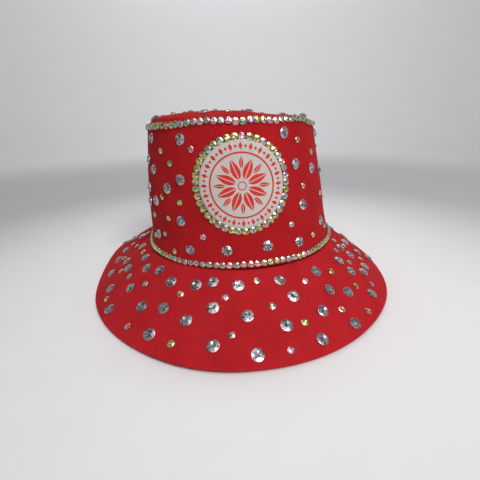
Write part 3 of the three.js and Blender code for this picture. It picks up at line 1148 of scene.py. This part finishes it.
def build_loose_stones():
    nodes = sorted(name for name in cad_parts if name.startswith("crown_crystal_"))
    side_large = [place_of_node(node) for node in nodes]
    stone_sets = (
        ("crown_crystals", 11, 0.6, side_place, side_large, LARGE, LARGE_RADIUS, CLEAR_REFLECTION_TONES_ON_CROWN),
        ("brim_crystals", 12, 2.2, brim_place, BRIM_LARGE, LARGE, BRIM_LARGE_RADIUS, CLEAR_REFLECTION_TONES),
        ("tip_crystals", 13, FLATNESS, tip_place, TIP_LARGE, LARGE, LARGE_RADIUS, CLEAR_REFLECTION_TONES),
        ("crown_small_stones", 14, 0.5, side_place, SIDE_SMALL, SMALL, SMALL_RADIUS, None),
        ("brim_small_stones", 15, 0.9, brim_place, BRIM_SMALL, SMALL, TRIM_RADIUS, None),
        ("tip_small_stones", 16, FLATNESS, tip_place, TIP_SMALL, SMALL, SMALL_RADIUS, None),
    )
    for name, seed, flatness, place_at, table, kind, radius, palette in stone_sets:
        stones = StoneSet(seed, flatness)
        cut, height, slot, material = kind
        for angle, distance in table:
            colours = palette or rainbow_for(stones, angle)
            stones.add(place_at(angle, distance * MM), cut, radius, height, colours)
        piece = stones.build(name, slot, material)
        if table is side_large:
            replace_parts(piece, *nodes)


# How far the top and base trims stray up the crown from their level lines, as (degrees, millimetres).
TOP_TRIM_STRAY = (
    (-180, 0.6), (-130, 0.0), (-80, -3.3), (-59, -2.9), (-48, -2.0), (-41, -1.8), (-33, -1.6), (-25, -0.2),
    (-18, 0.7), (-3, 0.8), (6, 0.1), (14, 1.0), (25, 0.2), (33, 0.6), (46, 0.8), (52, -0.2), (58, -1.9),
    (66, -3.0), (90, -3.2), (130, -0.4), (180, 0.6),
)
BASE_TRIM_STRAY = (
    (-180, 0.0), (-60, 0.0), (-40, -0.6), (-28, -1.3), (-14, -0.6), (2, 0.2), (18, 0.8), (32, 0.0), (46, 0.2),
    (70, 0.6), (180, 0.0),
)


def table_value(table, angle):
    """A value between the entries of a table of (angle, value)."""
    for (low, before), (high, after) in zip(table, table[1:]):
        if low <= angle <= high:
            return mix(before, after, (angle - low) / (high - low))
    return table[-1][1]


TRIM_OFF = 2.7 * MM
EMBLEM_TRIM_STONES = 41
EMBLEM_TRIM_RADIUS = 36 * MM


def build_level_trim(node, stones, count, along, level, uneven, stray):
    """A trim round the crown. along and uneven are how far a stone strays, in stones and in millimetres."""
    for index in range(count):
        angle = -90 + 360 * (index + stones.random.uniform(-along, along)) / count
        climb = level + stones.random.uniform(-uneven, uneven) * MM
        climb += table_value(stray, (angle + 180) % 360 - 180) * MM
        palette = rainbow_for(stones, angle)
        stones.add(side_place(angle, climb), SMALL_CUT, TRIM_RADIUS, TRIM_HEIGHT, palette)
    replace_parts(stones.build(f"{node}_stones", "rainbow_crystal", rainbow_crystal), node)


def build_emblem_trim():
    """The ring round the patch, a little lower than it is wide, with more pink in its upper half."""
    ring = StoneSet(23)
    for index in range(EMBLEM_TRIM_STONES):
        turn = 2 * math.pi * (index + ring.random.uniform(-0.05, 0.05)) / EMBLEM_TRIM_STONES
        x, y = polar(EMBLEM_TRIM_RADIUS, turn)
        weights = (0.9, 0.55 if y > 0 else 0.12, 0.8)
        palette = ring.random.choices(RAINBOW_AND_REFLECTION_TONES, weights)[0]
        ring.add(glued(emblem_frame(x, 0.98 * y)), SMALL_CUT, TRIM_RADIUS, TRIM_HEIGHT, palette)
    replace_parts(ring.build("emblem_trim_stones", "rainbow_crystal", rainbow_crystal), "emblem_trim")


build_loose_stones()
build_level_trim("crown_top_trim", StoneSet(21), 92, 0.06, SIDE_LENGTH - TRIM_OFF, 0.35, TOP_TRIM_STRAY)
build_level_trim("crown_base_trim", StoneSet(22, 0.9), 106, 0.05, TRIM_OFF, 0.15, BASE_TRIM_STRAY)
build_emblem_trim()


# ---- Stage and light ----

def stage_material():
    """Pale paper with a painted pool of light: painted shade makes it greyer between the middle and the
    walls.
    """
    recipe = Recipe("studio_paper")
    place = recipe.object_place()
    grain = recipe.noise(place, 40.0, 3.0, 0.6)
    distance = recipe.add("ShaderNodeVectorMath", {0: place}, output=1, operation="LENGTH")
    out = recipe.ramp(distance, 0.17, 0.5, interpolation_type="SMOOTHSTEP")
    wall = recipe.ramp(distance, 0.7, 1.4, interpolation_type="SMOOTHSTEP")
    # Painted pool of light: the floor is painted greyer out from the middle, and paler again up the walls.
    paper = recipe.blend(out, rgb(250, 250, 251), rgb(200, 200, 202))
    paper = recipe.blend(wall, paper, rgb(238, 238, 240))
    recipe.fill(recipe.shader, {
        "Base Color": recipe.blend(recipe.times(grain, 0.06), paper, rgb(170, 170, 172)),
        "Roughness": 0.9,
        "Specular IOR Level": 0.1,
    })
    return recipe.material


FLOOR_RADIUS = 1.3
CORNER_RADIUS = 0.7
CORNER_STEPS = 12
WALL_TOP = 1.6
STAGE_SIDES = 96


def build_stage():
    """A round pale floor that curves up into a wall on all sides."""
    profile = [(0.02, 0.0), (0.3, 0.0), (0.8, 0.0)]
    for step in range(CORNER_STEPS + 1):
        turn = math.pi / 2 * step / CORNER_STEPS
        across, up = CORNER_RADIUS * math.sin(turn), CORNER_RADIUS * (1 - math.cos(turn))
        profile.append((FLOOR_RADIUS + across, up))
    profile.append((FLOOR_RADIUS + CORNER_RADIUS, WALL_TOP))
    points, faces = [], []
    for radius, height in profile:
        for side in range(STAGE_SIDES):
            x, y = polar(radius, 2 * math.pi * side / STAGE_SIDES)
            points.append((x, y, height))
    for row in range(len(profile) - 1):
        faces += faces_between((row + 1) * STAGE_SIDES, row * STAGE_SIDES, STAGE_SIDES)
    faces.append(tuple(range(STAGE_SIDES)))
    floor = mesh_object("studio_floor", points, faces, stage_material())


# Area lights as (name, place, target, size, power in watts).
HAT_MIDDLE = (0, 0, 0.08)
LIGHTS = (
    ("key", (0.45, -0.85, 0.95), HAT_MIDDLE, 0.4, 8.5),
    ("top", (0.0, -0.25, 1.25), HAT_MIDDLE, 0.7, 1.9),
    ("top_front", (0.0, -0.65, 1.15), HAT_MIDDLE, 0.7, 2.3),
    ("back_left", (-0.7, 0.9, 0.8), HAT_MIDDLE, 0.4, 0.5),
    ("back_right", (0.8, 0.8, 0.6), HAT_MIDDLE, 0.4, 0.5),
    ("backdrop", (0.0, 0.9, 1.7), (0, 2.0, 0.7), 0.8, 13),
)


def build_lights():
    for name, place, target, size, power in LIGHTS:
        light = bpy.data.lights.new(name, "AREA")
        light.size = size
        light.energy = power
        lamp = bpy.data.objects.new(name, light)
        bpy.context.scene.collection.objects.link(lamp)
        lamp.location = place
        lamp.rotation_euler = (Vector(target) - Vector(place)).to_track_quat("-Z", "Y").to_euler()
    world = bpy.data.worlds.new("studio")
    world.use_nodes = True
    background = next(node for node in world.node_tree.nodes if node.type == "BACKGROUND")
    background.inputs["Color"].default_value = (0.9, 0.93, 1.0, 1.0)
    background.inputs["Strength"].default_value = 0.02
    bpy.context.scene.world = world


build_stage()
build_lights()
bpy.context.scene.view_settings.view_transform = "Standard"
